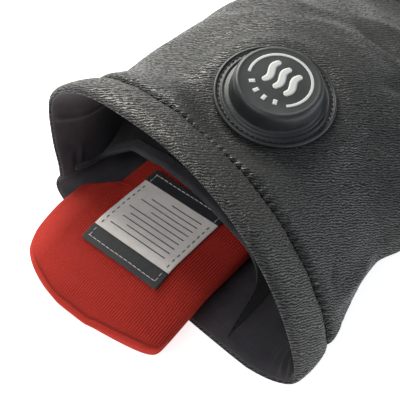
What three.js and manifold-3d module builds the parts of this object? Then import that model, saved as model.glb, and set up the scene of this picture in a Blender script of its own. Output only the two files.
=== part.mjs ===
// A left-hand heated glove of soft leather, lying on its palm:
// fingers along +X, thumb towards -Y, floor at z 0
import * as THREE from "three";
import { mergeVertices } from "three/addons/utils/BufferGeometryUtils.js";
import Module from "manifold-3d";

const wasm = await Module();
wasm.setup();

// Driving dimensions in millimetres, angles in degrees
const bodyLength = 178; // edge of the cuff to the roots of the fingers
const bodyWidth = 120; // across the cuff and the palm
const mouthHeight = 65; // floor to the top of the mouth
const mouthLean = 18; // sideways lean of the mouth's top, away from the thumb
const mouthSlantSide = 6.3; // the mouth's edge runs forward on the little finger's side
const mouthSlantTop = 5; // and forward at its top
const palmFlat = 3; // how much of the rounded underside the floor presses flat
const cuffLength = 88; // edge of the cuff to the wrist seam
const leatherWall = 2.5;
const leatherPuff = 1; // soft swell of the leather beside a seam
const bandWidth = 18; // turned band at the mouth
const liningWall = 1.2;
const clearance = 0.3;
const fingerLength = 84;
const fingerThickness = 26.5;
const fingerGap = 0.6; // between neighbouring fingers at their roots
const fingerWall = 3; // leather with its wadding
const fingerLift = 2.5; // rise of the fingers' arch above the floor
const thumbRoot = 72; // edge of the cuff to the start of the thumb inside the palm
const thumbSide = 36; // middle of the cuff to that start
const thumbReach = 92; // the thumb's length along the hand
const thumbSpread = 62; // and sideways
const thumbWidth = 40;
const thumbThickness = 34;
const buttonPlace = 55.7; // edge of the cuff to the middle of the button
const buttonSide = -4.8;
const buttonTiltMouth = 8.5;
const buttonTiltThumb = 10;
const buttonRise = 0.8; // the wadding under the button lifts it above the back of the cuff
const flangeRadius = 22;
const flangeThickness = 2;
const domeBaseRadius = 16.4;
const domeTopRadius = 15.4;
const domeHeight = 7.3;
const flangeGroove = 0.5; // depth of the sewn channel round the dome
const sleeveWidth = 58;
const sleeveLength = 92;
const sleeveThickness = 15;
const sleeveOut = 33; // length of the sleeve outside the mouth
const sleeveSide = 6.5; // middle of the cuff to the middle of the sleeve
const sleeveFlare = 12.5; // loose flap along the sleeve's side
const labelLength = 40;
const labelWidth = 34.5;
const labelThickness = 0.6;
const labelFromEnd = 20.5; // open end of the sleeve to the label
const labelSide = 1.1; // middle of the sleeve to the middle of the label
const pocketWall = 1.2;
const pocketFromSeam = 2; // wrist seam to the pocket's closed end
const pocketHem = 5; // wide hem along the pocket's mouth
const pocketHemWall = 2;

const COLOURS = {
  leather: { color: 0x2b2b2e, roughness: 0.5 },
  band: { color: 0x343436, roughness: 0.5 },
  lining: { color: 0x121215, roughness: 0.85 },
  pocket: { color: 0x1a1a1e, roughness: 0.8 },
  hem: { color: 0x2a2b2f, roughness: 0.75 },
  silicone: { color: 0x2f3134, roughness: 0.42 },
  sleeve: { color: 0xb32e22, roughness: 0.75 },
  label: { color: 0xd9d6d2, roughness: 0.7 },
};

// Sections of the cuff and hand: at is a share of bodyLength, half and side of bodyWidth,
// top and under of mouthHeight, lean of mouthLean; square is the power that squares the oval
const bodyTable = [
  { at: 0.0, half: 0.5, side: -0.024, top: 0.83, under: 0.17, lean: 1.0, square: 0.82 },
  { at: 0.1, half: 0.495, side: -0.03, top: 0.8, under: 0.145, lean: 1.08, square: 0.88 },
  { at: 0.25, half: 0.511, side: 0.006, top: 0.655, under: 0.185, lean: 0.58, square: 0.94 },
  { at: 0.35, half: 0.529, side: -0.008, top: 0.64, under: 0.2, lean: 0.5, square: 0.95 },
  { at: 0.48, half: 0.546, side: -0.025, top: 0.65, under: 0.23, lean: 0.38, square: 0.95 },
  { at: 0.63, half: 0.533, side: -0.017, top: 0.6, under: 0.24, lean: 0.22, square: 0.94 },
  { at: 0.82, half: 0.49, side: 0.008, top: 0.42, under: 0.225, lean: 0.1, square: 0.9 },
  { at: 1.0, half: 0.467, side: 0.008, top: 0.25, under: 0.205, lean: 0.0, square: 0.82 },
];

// Soft folds in the leather: at is a share of bodyLength, turn in degrees round the section from
// the little finger's side, spread in degrees, wide a share of bodyLength, deep of leatherWall,
// and a fold with a negative depth is a swell
const foldTable = [
  { at: 0.0, turn: 37, spread: 14, wide: 0.06, deep: -0.84, slope: 0 },
  { at: 0.0, turn: 342, spread: 15, wide: 0.03, deep: -1.1, slope: 0 },
  { at: 0.03, turn: 184, spread: 16, wide: 0.12, deep: -0.5, slope: 0 },
  { at: 0.315, turn: 180, spread: 32, wide: 0.065, deep: 2.1, slope: 0 },
  { at: 0.34, turn: 40, spread: 22, wide: 0.08, deep: -0.56, slope: 0 },
  { at: 0.62, turn: 38, spread: 25, wide: 0.12, deep: -0.8, slope: 0 },
  { at: 0.47, turn: 150, spread: 30, wide: 0.03, deep: 0.7, slope: 0.1 },
  { at: 0.56, turn: 125, spread: 34, wide: 0.035, deep: 0.8, slope: -0.08 },
  { at: 0.6, turn: 70, spread: 30, wide: 0.035, deep: 0.7, slope: 0.07 },
  { at: 0.69, turn: 95, spread: 40, wide: 0.04, deep: 0.6, slope: -0.04 },
];

// Fingers, index first: wide is a share of bodyWidth, thick of fingerThickness, long of fingerLength,
// back the share of fingerLength that the root lies behind the others, splay in degrees
const fingerTable = [
  { name: "index_finger", wide: 0.237, thick: 1.0, long: 0.88, back: 0.0, splay: -3.2 },
  { name: "middle_finger", wide: 0.237, thick: 1.0, long: 1.0, back: 0.0, splay: -0.8 },
  { name: "ring_finger", wide: 0.23, thick: 0.98, long: 0.92, back: 0.0, splay: 1.8 },
  { name: "little_finger", wide: 0.214, thick: 0.92, long: 0.76, back: 0.13, splay: 5.4 },
];

// Girth along a finger, as shares of its length and of its half sizes
const fingerGirth = [
  { at: -0.3, girth: 0.97 },
  { at: 0.0, girth: 1.0 },
  { at: 0.2, girth: 1.0 },
  { at: 0.36, girth: 0.965 },
  { at: 0.52, girth: 0.99 },
  { at: 0.67, girth: 0.95 },
  { at: 0.82, girth: 0.93 },
  { at: 0.92, girth: 0.8 },
  { at: 0.975, girth: 0.55 },
  { at: 1.0, girth: 0.22 },
];

// The thumb's path and girth: along is a share of thumbReach, out of thumbSpread
const thumbTable = [
  { along: 0.0, out: 0.0, wide: 0.8, thick: 0.9 },
  { along: 0.22, out: 0.13, wide: 0.95, thick: 1.0 },
  { along: 0.42, out: 0.33, wide: 0.92, thick: 0.95 },
  { along: 0.6, out: 0.54, wide: 0.82, thick: 0.87 },
  { along: 0.77, out: 0.75, wide: 0.75, thick: 0.8 },
  { along: 0.89, out: 0.89, wide: 0.67, thick: 0.73 },
  { along: 0.955, out: 0.96, wide: 0.53, thick: 0.6 },
  { along: 0.985, out: 0.99, wide: 0.36, thick: 0.42 },
  { along: 1.0, out: 1.0, wide: 0.16, thick: 0.2 },
];

// Profile of the turned band: along is a share of bandWidth, in a share of leatherWall, puff of leatherPuff
const bandProfile = [
  { along: 1.0, in: 0.0, puff: 0.0 },
  { along: 0.86, in: 0.0, puff: 0.8 },
  { along: 0.6, in: 0.0, puff: 1.2 },
  { along: 0.3, in: 0.0, puff: 1.1 },
  { along: 0.08, in: 0.0, puff: 0.7 },
  { along: 0.0, in: 0.25, puff: 0.0 },
  { along: -0.02, in: 0.6, puff: 0.0 },
  { along: 0.06, in: 1.0, puff: 0.0 },
  { along: 0.5, in: 1.0, puff: 0.0 },
  { along: 1.0, in: 1.0, puff: 0.0 },
];

// Swell of the leather behind the band's seam: along in shares of bandWidth from the seam
const seamSwell = [
  { along: 0.0, puff: 0.0 },
  { along: 0.12, puff: 0.6 },
  { along: 0.35, puff: 1.0 },
  { along: 1.0, puff: 1.0 },
];

// Plan of the battery sleeve: at is a share of sleeveLength from its open end, left and right shares of half
// its width, flare a share of sleeveFlare added on the left, thick a share of its thickness
const sleeveTable = [
  { at: 0.0, left: 0.4, flare: 0.0, right: 0.1, thick: 0.12 },
  { at: 0.008, left: 0.62, flare: 0.0, right: 0.2, thick: 0.26 },
  { at: 0.023, left: 0.77, flare: 0.0, right: 0.58, thick: 0.4 },
  { at: 0.036, left: 0.88, flare: 0.0, right: 0.81, thick: 0.5 },
  { at: 0.05, left: 0.98, flare: 0.0, right: 0.95, thick: 0.56 },
  { at: 0.07, left: 1.0, flare: 0.22, right: 1.01, thick: 0.64 },
  { at: 0.09, left: 1.0, flare: 0.44, right: 1.02, thick: 0.7 },
  { at: 0.13, left: 1.0, flare: 0.68, right: 1.02, thick: 0.79 },
  { at: 0.2, left: 1.0, flare: 0.92, right: 1.02, thick: 0.9 },
  { at: 0.34, left: 1.0, flare: 1.0, right: 1.02, thick: 0.98 },
  { at: 0.48, left: 1.0, flare: 1.02, right: 1.02, thick: 1.0 },
  { at: 0.505, left: 1.0, flare: 0.75, right: 1.02, thick: 1.0 },
  { at: 0.53, left: 1.0, flare: 0.0, right: 1.02, thick: 1.0 },
  { at: 0.85, left: 1.0, flare: 0.0, right: 1.02, thick: 1.0 },
  { at: 0.95, left: 0.97, flare: 0.0, right: 0.99, thick: 0.9 },
  { at: 0.99, left: 0.92, flare: 0.0, right: 0.94, thick: 0.66 },
  { at: 1.0, left: 0.86, flare: 0.0, right: 0.88, thick: 0.4 },
];

// The pocket's mouth round the sleeve: across runs from -1 to 1 over the cuff's floor, deep is a share of
// bandWidth from the cuff's edge, rise a share of the panel's height above the floor
const pocketTable = [
  { across: -0.6, deep: 0.05, rise: 0.0 },
  { across: -0.585, deep: 0.3, rise: 0.14 },
  { across: -0.57, deep: 0.62, rise: 0.28 },
  { across: -0.55, deep: 0.98, rise: 0.43 },
  { across: -0.52, deep: 1.18, rise: 0.58 },
  { across: -0.46, deep: 1.32, rise: 0.74 },
  { across: -0.38, deep: 1.4, rise: 0.9 },
  { across: -0.25, deep: 1.46, rise: 1.0 },
  { across: -0.1, deep: 1.56, rise: 1.0 },
  { across: 0.1, deep: 1.69, rise: 1.0 },
  { across: 0.28, deep: 1.73, rise: 1.0 },
  { across: 0.45, deep: 1.74, rise: 1.0 },
  { across: 0.57, deep: 1.68, rise: 0.99 },
  { across: 0.67, deep: 1.67, rise: 0.94 },
  { across: 0.75, deep: 1.66, rise: 0.88 },
  { across: 0.815, deep: 1.55, rise: 0.78 },
  { across: 0.87, deep: 1.43, rise: 0.68 },
  { across: 0.92, deep: 1.27, rise: 0.6 },
  { across: 0.965, deep: 1.05, rise: 0.5 },
  { across: 1.0, deep: 0.35, rise: 0.38 },
];

// Shared values
const ringSides = 40;
const fingerSides = 16;
const thumbSides = 20;
const sleeveSides = 24;
const buttonSides = 30;
const sleeveSquare = 0.6; // power that squares the sleeve's oval
const sleeveDroop = 0.35; // share of the thinning that raises the sleeve's underside
const flapThin = 0.45; // share of its thickness that the flap lacks
const fingerSquare = 0.86; // power that squares the oval of a finger and the thumb
const seatReach = 1.08; // the leather lies flat out to this share of the flange's radius
const seatBlend = 1.7; // and takes its own shape from this share
const liningInset = leatherWall + clearance;
const insideInset = liningInset + liningWall;
const radians = THREE.MathUtils.degToRad;

// Smooth value of one column of a table at a place, with flat ends
function column(table, key, place, name) {
  const last = table.length - 1;
  if (place <= table[0][key]) return table[0][name];
  if (place >= table[last][key]) return table[last][name];
  let i = 0;
  while (place > table[i + 1][key]) i += 1;
  const step = (k) => (table[k + 1][name] - table[k][name]) / (table[k + 1][key] - table[k][key]);
  const slope = (k) => {
    if (k === 0 || k === last) return 0;
    const before = step(k - 1);
    const after = step(k);
    return before * after <= 0 ? 0 : (2 * before * after) / (before + after);
  };
  const width = table[i + 1][key] - table[i][key];
  const u = (place - table[i][key]) / width;
  const startShare = (1 + 2 * u) * (1 - u) ** 2;
  const endShare = u * u * (3 - 2 * u);
  const startPull = u * (1 - u) ** 2 * width * slope(i);
  const endPull = u * u * (u - 1) * width * slope(i + 1);
  return table[i][name] * startShare + table[i + 1][name] * endShare + startPull + endPull;
}

function power(value, exponent) {
  return Math.sign(value) * Math.abs(value) ** exponent;
}

// The button's seat on the back of the cuff
const buttonNormal = new THREE.Vector3(
  -Math.sin(radians(buttonTiltMouth)),
  -Math.sin(radians(buttonTiltThumb)),
  0,
);
buttonNormal.z = Math.sqrt(1 - buttonNormal.lengthSq());
const seatHeight = bodyTopAt(buttonPlace, buttonSide) + leatherPuff + buttonRise;
const buttonSeat = new THREE.Vector3(buttonPlace, buttonSide, seatHeight);

// Height of the cuff's top over a place, before folds
function bodyTopAt(x, y) {
  const at = (name) => column(bodyTable, "at", x / bodyLength, name);
  let turn = Math.PI / 2;
  for (let i = 0; i < 20; i += 1) {
    const across = at("side") * bodyWidth + at("lean") * mouthLean * Math.sin(turn);
    const share = (y - across) / (at("half") * bodyWidth);
    turn = Math.acos(power(share, 1 / at("square")));
  }
  return mouthHeight * (at("under") + at("top") * power(Math.sin(turn), at("square")));
}

function foldDepth(x, turn) {
  let depth = 0;
  for (const fold of foldTable) {
    const away = THREE.MathUtils.euclideanModulo(THREE.MathUtils.radToDeg(turn) - fold.turn + 180, 360) - 180;
    const round = away / fold.spread;
    const along = (x / bodyLength - fold.at - fold.slope * round) / fold.wide;
    depth += fold.deep * leatherWall * Math.exp(-round * round - along * along);
  }
  return depth;
}

// Point of the cuff's and hand's section: inset is the depth below the seams' level, so a puff is negative
function bodyPoint(x, turn, inset) {
  const at = (name) => column(bodyTable, "at", x / bodyLength, name);
  const c = Math.cos(turn);
  const s = Math.sin(turn);
  const half = at("half") * bodyWidth - inset;
  const under = at("under") * mouthHeight;
  const top = at("top") * mouthHeight - inset;
  const floor = Math.max(inset, 0);
  const y = at("side") * bodyWidth + half * power(c, at("square")) + at("lean") * mouthLean * Math.max(s, 0);
  const below = (under - floor + palmFlat) * power(s, at("square"));
  const z = Math.max(floor, under + (s > 0 ? top * power(s, at("square")) : below));
  const slantFade = Math.max(1 - (2 * x) / bodyLength, 0);
  const point = new THREE.Vector3(x + (mouthSlantSide * c + mouthSlantTop * s) * slantFade, y, z);
  const middle = new THREE.Vector3(point.x, at("side") * bodyWidth, under);
  point.addScaledVector(middle.sub(point).normalize(), foldDepth(x, turn));
  point.z = Math.max(point.z, floor);
  return flattenUnderButton(point, inset);
}

// The soft leather lies flat under the button's flange
function flattenUnderButton(point, inset) {
  const offset = point.clone().sub(buttonSeat);
  const height = offset.dot(buttonNormal);
  const away = offset.addScaledVector(buttonNormal, -height).length();
  const share = 1 - THREE.MathUtils.smoothstep(away, flangeRadius * seatReach, flangeRadius * seatBlend);
  if (height < -mouthHeight / 2) return point;
  return point.addScaledVector(buttonNormal, (-(inset + leatherPuff) - height) * share);
}

function bodyRing(x, inset) {
  const ring = [];
  for (let i = 0; i < ringSides; i += 1) {
    ring.push(bodyPoint(x, ((i + 0.5) * 2 * Math.PI) / ringSides, inset));
  }
  return ring;
}

// Closed mesh over a row of equal rings: its ends are capped, or the last ring joins the first
function meshOfRings(rings, loop) {
  const count = rings[0].length;
  const points = rings.flat().map((p) => p.clone());
  const faces = [];
  const bands = loop ? rings.length : rings.length - 1;
  for (let r = 0; r < bands; r += 1) {
    const a = r * count;
    const b = ((r + 1) % rings.length) * count;
    for (let i = 0; i < count; i += 1) {
      const j = (i + 1) % count;
      faces.push([a + i, a + j, b + j], [a + i, b + j, b + i]);
    }
  }
  if (!loop) {
    capRing(points, faces, rings[0], 0, true);
    capRing(points, faces, rings[rings.length - 1], (rings.length - 1) * count, false);
  }
  return closedGeometry(points, faces);
}

function capRing(points, faces, ring, start, first) {
  const middle = ring.reduce((sum, p) => sum.add(p), new THREE.Vector3()).divideScalar(ring.length);
  const centre = points.push(middle) - 1;
  for (let i = 0; i < ring.length; i += 1) {
    const j = (i + 1) % ring.length;
    faces.push(first ? [centre, start + j, start + i] : [centre, start + i, start + j]);
  }
}

// Closed mesh between two equal grids of points, an upper and a lower one
function meshOfSheet(upper, lower) {
  const rows = upper.length;
  const columns = upper[0].length;
  const points = [...upper.flat(), ...lower.flat()].map((p) => p.clone());
  const top = (r, c) => r * columns + c;
  const under = (r, c) => rows * columns + r * columns + c;
  const faces = [];
  for (let r = 0; r < rows - 1; r += 1) {
    for (let c = 0; c < columns - 1; c += 1) {
      faces.push([top(r, c), top(r + 1, c), top(r + 1, c + 1)]);
      faces.push([top(r, c), top(r + 1, c + 1), top(r, c + 1)]);
      faces.push([under(r, c), under(r + 1, c + 1), under(r + 1, c)]);
      faces.push([under(r, c), under(r, c + 1), under(r + 1, c + 1)]);
    }
  }
  const edge = [];
  for (let c = 0; c < columns - 1; c += 1) edge.push([0, c]);
  for (let r = 0; r < rows - 1; r += 1) edge.push([r, columns - 1]);
  for (let c = columns - 1; c > 0; c -= 1) edge.push([rows - 1, c]);
  for (let r = rows - 1; r > 0; r -= 1) edge.push([r, 0]);
  edge.forEach(([r, c], i) => {
    const [nextR, nextC] = edge[(i + 1) % edge.length];
    faces.push([top(r, c), top(nextR, nextC), under(nextR, nextC)]);
    faces.push([top(r, c), under(nextR, nextC), under(r, c)]);
  });
  return closedGeometry(points, faces);
}

// Geometry from points and faces, turned so that its faces point out
function closedGeometry(points, faces) {
  let volume = 0;
  for (const [a, b, c] of faces) volume += points[a].dot(points[b].clone().cross(points[c]));
  const outward = volume > 0 ? faces : faces.map(([a, b, c]) => [a, c, b]);
  const geometry = new THREE.BufferGeometry();
  geometry.setAttribute("position", new THREE.Float32BufferAttribute(points.flatMap((p) => p.toArray()), 3));
  geometry.setIndex(outward.flat());
  return geometry;
}

function solidOf(geometry) {
  const bare = geometry.clone();
  bare.deleteAttribute("normal");
  bare.deleteAttribute("uv");
  const merged = mergeVertices(bare, 1e-4);
  const mesh = new wasm.Mesh({
    numProp: 3,
    vertProperties: new Float32Array(merged.attributes.position.array),
    triVerts: new Uint32Array(merged.index.array),
  });
  mesh.merge();
  return new wasm.Manifold(mesh);
}

function geometryOf(solid) {
  const mesh = solid.getMesh();
  const geometry = new THREE.BufferGeometry();
  geometry.setAttribute("position", new THREE.Float32BufferAttribute(mesh.vertProperties, mesh.numProp));
  geometry.setIndex([...mesh.triVerts]);
  return geometry;
}

// Box from its lowest and highest corners
function block(low, high) {
  const size = high.clone().sub(low);
  const geometry = new THREE.BoxGeometry(size.x, size.y, size.z);
  geometry.translate((low.x + high.x) / 2, (low.y + high.y) / 2, (low.z + high.z) / 2);
  return geometry;
}

function makeMesh(name, geometry, finish) {
  const mesh = new THREE.Mesh(geometry, new THREE.MeshStandardMaterial({ ...finish, metalness: 0 }));
  mesh.name = name;
  return mesh;
}

// Places along the body between two ends, about one step apart
function stations(from, to, step) {
  const count = Math.max(2, Math.round((to - from) / step));
  return Array.from({ length: count + 1 }, (unused, i) => from + ((to - from) * i) / count);
}

// Places of the rings inside the cuff, shared by the leather's inner face and the lining
function insidePlaces() {
  const inBand = bandProfile.slice(-3).map((row) => row.along * bandWidth);
  return [...inBand, ...stations(bandWidth + clearance, cuffLength, 14)];
}

// Turned leather band at the mouth
function makeBand() {
  const rings = bandProfile.map((row) => {
    return bodyRing(row.along * bandWidth, row.in * leatherWall - row.puff * leatherPuff);
  });
  return makeMesh("hem_band", meshOfRings(rings.reverse(), true), COLOURS.band);
}

function leatherInset(x) {
  return -leatherPuff * column(seamSwell, "along", (x - bandWidth) / bandWidth, "puff");
}

// Padded leather of the cuff, from the band's seam to the wrist seam
function makeCuff() {
  const start = bandWidth + clearance;
  const swell = seamSwell.slice(0, -1).map((row) => start + row.along * bandWidth);
  const outside = [...swell, ...stations(start + 0.7 * bandWidth, cuffLength, 8)];
  const inside = insidePlaces().filter((x) => x > bandWidth).reverse();
  const rings = [
    ...outside.map((x) => bodyRing(x, leatherInset(x))),
    ...inside.map((x) => bodyRing(x, leatherWall)),
  ];
  const seatRadius = flangeRadius + clearance;
  const seat = new THREE.CylinderGeometry(seatRadius, seatRadius, mouthHeight, ringSides);
  seat.translate(0, mouthHeight / 2, 0);
  placeOnButton(seat);
  const shell = solidOf(meshOfRings(rings, true)).subtract(solidOf(seat));
  return makeMesh("cuff_leather", geometryOf(shell), COLOURS.leather);
}

// Thin lining inside the cuff
function makeLining() {
  const places = insidePlaces();
  const rings = [
    ...places.map((x) => bodyRing(x, insideInset)),
    ...places.reverse().map((x) => bodyRing(x, liningInset)),
  ];
  return makeMesh("cuff_lining", meshOfRings(rings, true), COLOURS.lining);
}

// A finger as a solid tube with a round tip, its size and length drawn in by the inset
function fingerTube(finger, inset) {
  const length = finger.long * fingerLength - inset;
  const root = new THREE.Vector3(rootOf(finger), fingerSide(finger), 0);
  const ahead = new THREE.Vector3(Math.cos(radians(finger.splay)), Math.sin(radians(finger.splay)), 0);
  const aside = new THREE.Vector3(-ahead.y, ahead.x, 0);
  const rings = fingerGirth.map((row) => {
    const halfWide = Math.max((finger.wide * bodyWidth * row.girth) / 2 - inset, inset / 4);
    const halfThick = Math.max((finger.thick * fingerThickness * row.girth) / 2 - inset, inset / 4);
    const middle = root.clone().addScaledVector(ahead, row.at * length);
    const arch = 4 * Math.max(row.at, 0) * (1 - row.at);
    middle.z = (finger.thick * fingerThickness * Math.max(row.girth, 0.8)) / 2 + fingerLift * arch;
    return ovalRing(middle, aside, halfWide, halfThick, fingerSides);
  });
  return solidOf(meshOfRings(rings, false));
}

function ovalRing(middle, aside, halfWide, halfThick, sides) {
  const ring = [];
  for (let i = 0; i < sides; i += 1) {
    const turn = ((i + 0.5) * 2 * Math.PI) / sides;
    const point = middle.clone().addScaledVector(aside, halfWide * power(Math.cos(turn), fingerSquare));
    point.z = Math.max(point.z + halfThick * power(Math.sin(turn), fingerSquare), 0);
    ring.push(point);
  }
  return ring;
}

// Middle of a finger's root across the hand
function fingerSide(finger) {
  const widths = fingerTable.map((row) => row.wide * bodyWidth + fingerGap);
  const whole = widths.reduce((sum, width) => sum + width, 0);
  const index = fingerTable.indexOf(finger);
  const before = widths.slice(0, index).reduce((sum, width) => sum + width, 0);
  return bodyTable[bodyTable.length - 1].side * bodyWidth - whole / 2 + before + widths[index] / 2;
}

// Plane of a finger's root along the hand
function rootOf(finger) {
  return bodyLength - finger.back * fingerLength;
}

// The thumb as a solid tube, drawn in by the inset
function thumbTube(inset) {
  const place = (row) => {
    return new THREE.Vector3(thumbRoot + row.along * thumbReach, -thumbSide - row.out * thumbSpread, 0);
  };
  const rings = thumbTable.map((row, i) => {
    const before = place(thumbTable[Math.max(i - 1, 0)]);
    const after = place(thumbTable[Math.min(i + 1, thumbTable.length - 1)]);
    const ahead = after.sub(before).normalize();
    const aside = new THREE.Vector3(-ahead.y, ahead.x, 0);
    const halfWide = Math.max((row.wide * thumbWidth) / 2 - inset, inset / 4);
    const halfThick = Math.max((row.thick * thumbThickness) / 2 - inset, inset / 4);
    const middle = place(row).addScaledVector(ahead, -inset * (i === thumbTable.length - 1 ? 1 : 0));
    middle.z = (thumbThickness * Math.max(row.thick, 0.64)) / 2;
    return ovalRing(middle, aside, halfWide, halfThick, thumbSides);
  });
  return solidOf(meshOfRings(rings, false));
}

// Everything on the far side of the plane where the thumb is sewn on, less a gap
function beyondThumbSeam(gap) {
  const seam = thumbTable[3];
  const before = thumbTable[2];
  const ahead = new THREE.Vector3(
    (seam.along - before.along) * thumbReach,
    -(seam.out - before.out) * thumbSpread,
    0,
  ).normalize();
  const reach = thumbReach;
  const geometry = block(new THREE.Vector3(gap, -reach, -reach), new THREE.Vector3(2 * reach, reach, reach));
  geometry.rotateZ(Math.atan2(ahead.y, ahead.x));
  geometry.translate(thumbRoot + seam.along * thumbReach, -thumbSide - seam.out * thumbSpread, 0);
  return solidOf(geometry);
}

// Solid of the palm and back of the hand from a place behind the wrist seam to past the finger roots
function handBody(from, inset) {
  const to = bodyLength + fingerWall;
  const rings = stations(from, to, 13).map((x) => bodyRing(x, inset));
  return solidOf(meshOfRings(rings, false));
}

// All that lies beyond the roots of the fingers, moved along the hand by a shift
function beyondRoots(shift) {
  const far = bodyLength + 2 * fingerLength;
  const wide = 2 * bodyWidth;
  const little = fingerTable[3];
  const ring = fingerTable[2];
  const between = fingerSide(ring) + (ring.wide * bodyWidth + fingerGap) / 2;
  const corner = new THREE.Vector3(far, wide, wide);
  const three = block(new THREE.Vector3(bodyLength + shift, -wide, -wide), corner);
  const one = block(new THREE.Vector3(rootOf(little) + shift, between, -wide), corner);
  return solidOf(three).add(solidOf(one));
}

// The hand and the thumb share one hollow, and the fingers open into it
function makeHand() {
  const start = cuffLength + clearance;
  const thumbStub = thumbTube(0).subtract(beyondThumbSeam(0)).subtract(solidOf(behindWrist(start)));
  let outside = handBody(start, -leatherPuff).add(thumbStub);
  for (const finger of fingerTable) outside = outside.add(fingerTube(finger, 0));
  outside = outside.subtract(beyondRoots(0));
  let hollow = handBody(start - 1, insideInset).subtract(beyondRoots(-fingerWall));
  hollow = hollow.add(thumbTube(insideInset).subtract(solidOf(behindWrist(start + fingerWall))));
  for (const finger of fingerTable) hollow = hollow.add(fingerTube(finger, fingerWall));
  return makeMesh("hand_leather", geometryOf(outside.subtract(hollow)), COLOURS.leather);
}

// All that lies behind a place along the hand
function behindWrist(x) {
  const wide = 2 * bodyWidth;
  return block(new THREE.Vector3(-wide, -wide, -wide), new THREE.Vector3(x, wide, wide));
}

function makeFinger(finger) {
  const behind = solidOf(behindWrist(rootOf(finger) + clearance));
  const shell = fingerTube(finger, 0).subtract(fingerTube(finger, fingerWall)).subtract(behind);
  return makeMesh(finger.name, geometryOf(shell), COLOURS.leather);
}

function makeThumb() {
  const shell = thumbTube(0).subtract(thumbTube(fingerWall)).intersect(beyondThumbSeam(clearance));
  const hand = handBody(cuffLength, -leatherPuff - clearance);
  return makeMesh("thumb", geometryOf(shell.subtract(hand)), COLOURS.leather);
}

// Turns a geometry made along +Y about the button's own axis into its place on the cuff
function placeOnButton(geometry) {
  const turn = new THREE.Quaternion().setFromUnitVectors(new THREE.Vector3(0, 1, 0), buttonNormal);
  geometry.applyQuaternion(turn);
  geometry.translate(buttonSeat.x, buttonSeat.y, buttonSeat.z);
}

// Silicone button: a flange with a sewn groove near its edge, and the dome
function makeButton() {
  const channel = flangeThickness - flangeGroove;
  const rounding = (flangeRadius - domeBaseRadius) / 12;
  const top = flangeThickness + domeHeight;
  const profile = [
    [0, clearance],
    [flangeRadius - rounding, clearance],
    [flangeRadius, clearance + rounding],
    [flangeRadius, flangeThickness - rounding],
    [flangeRadius - rounding, flangeThickness],
    [flangeRadius - 2.3 * rounding, flangeThickness],
    [flangeRadius - 2.9 * rounding, channel],
    [flangeRadius - 4.9 * rounding, channel],
    [flangeRadius - 5.7 * rounding, flangeThickness],
    [domeBaseRadius + 1.2 * rounding, flangeThickness],
    [domeBaseRadius, flangeThickness + 0.1 * domeHeight],
    [domeTopRadius + 1.2 * rounding, flangeThickness + 0.7 * domeHeight],
    [domeTopRadius + 0.6 * rounding, flangeThickness + 0.86 * domeHeight],
    [domeTopRadius - 0.6 * rounding, flangeThickness + 0.96 * domeHeight],
    [domeTopRadius - 2.4 * rounding, top],
    [0, top],
  ].map(([radius, height]) => new THREE.Vector2(radius, height));
  const geometry = new THREE.LatheGeometry(profile, buttonSides);
  placeOnButton(geometry);
  return makeMesh("controller_button", geometryOf(solidOf(geometry)), COLOURS.silicone);
}

// Height of the battery sleeve's lowest line: on the lining inside the cuff, down to the floor outside
function sleeveFloor(x) {
  const inside = insideInset + clearance;
  const share = THREE.MathUtils.smoothstep(-x, 0, sleeveOut * 0.7);
  return inside * (1 - share) + clearance * share;
}

function sleeveRing(at) {
  const row = (name) => column(sleeveTable, "at", at, name);
  const x = at * sleeveLength - sleeveOut;
  const edge = sleeveSide + sleeveWidth / 2;
  const left = sleeveSide + (row("left") * sleeveWidth) / 2 + row("flare") * sleeveFlare;
  const right = sleeveSide - (row("right") * sleeveWidth) / 2;
  const thick = row("thick") * sleeveThickness;
  const bottom = sleeveFloor(x) + (sleeveThickness - thick) * sleeveDroop;
  const ring = [];
  for (let i = 0; i < sleeveSides; i += 1) {
    const turn = ((i + 0.5) * 2 * Math.PI) / sleeveSides;
    const y = (left + right) / 2 + ((left - right) / 2) * power(Math.cos(turn), sleeveSquare);
    const flap = THREE.MathUtils.smoothstep(y, edge - sleeveFlare / 4, edge + sleeveFlare);
    const share = (1 + power(Math.sin(turn), sleeveSquare)) * (1 - flapThin * flap);
    ring.push(new THREE.Vector3(x, y, bottom + (thick / 2) * share));
  }
  return ring;
}

function makeSleeve() {
  const places = sleeveTable.map((row) => row.at);
  return makeMesh("battery_sleeve", meshOfRings(places.map(sleeveRing), false), COLOURS.sleeve);
}

function sleeveTop(x) {
  const at = (x + sleeveOut) / sleeveLength;
  const thick = column(sleeveTable, "at", at, "thick") * sleeveThickness;
  return sleeveFloor(x) + (sleeveThickness - thick) * sleeveDroop + thick;
}

// Sewn label lying on the sleeve
function makeLabel() {
  const start = labelFromEnd - sleeveOut;
  const middle = sleeveSide + labelSide;
  const xs = stations(start, start + labelLength, 4);
  const ys = stations(middle - labelWidth / 2, middle + labelWidth / 2, labelWidth / 2);
  const level = (lift) => {
    return xs.map((x) => ys.map((y) => new THREE.Vector3(x, y, sleeveTop(x) + clearance + lift)));
  };
  return makeMesh("sleeve_label", meshOfSheet(level(labelThickness), level(0)), COLOURS.label);
}

// Inner pocket: a panel over the sleeve, sewn to the lining on both sides and closed at its far end
function pocketPoint(row, along, lift) {
  const mouth = row.deep * bandWidth;
  const end = cuffLength - pocketFromSeam;
  const x = mouth + (end - mouth) * along;
  const square = column(bodyTable, "at", x / bodyLength, "square");
  const point = bodyPoint(x, -Math.acos(power(row.across, 1 / square)), insideInset + 2 * clearance);
  const top = insideInset + sleeveThickness + labelThickness + 3 * clearance;
  const pastSleeve = sleeveLength - sleeveOut + 3;
  const closed = THREE.MathUtils.smoothstep(x, pastSleeve, end - pocketFromSeam);
  point.z += Math.max(top - point.z, 0) * row.rise * (1 - closed) + lift;
  return point;
}

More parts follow.
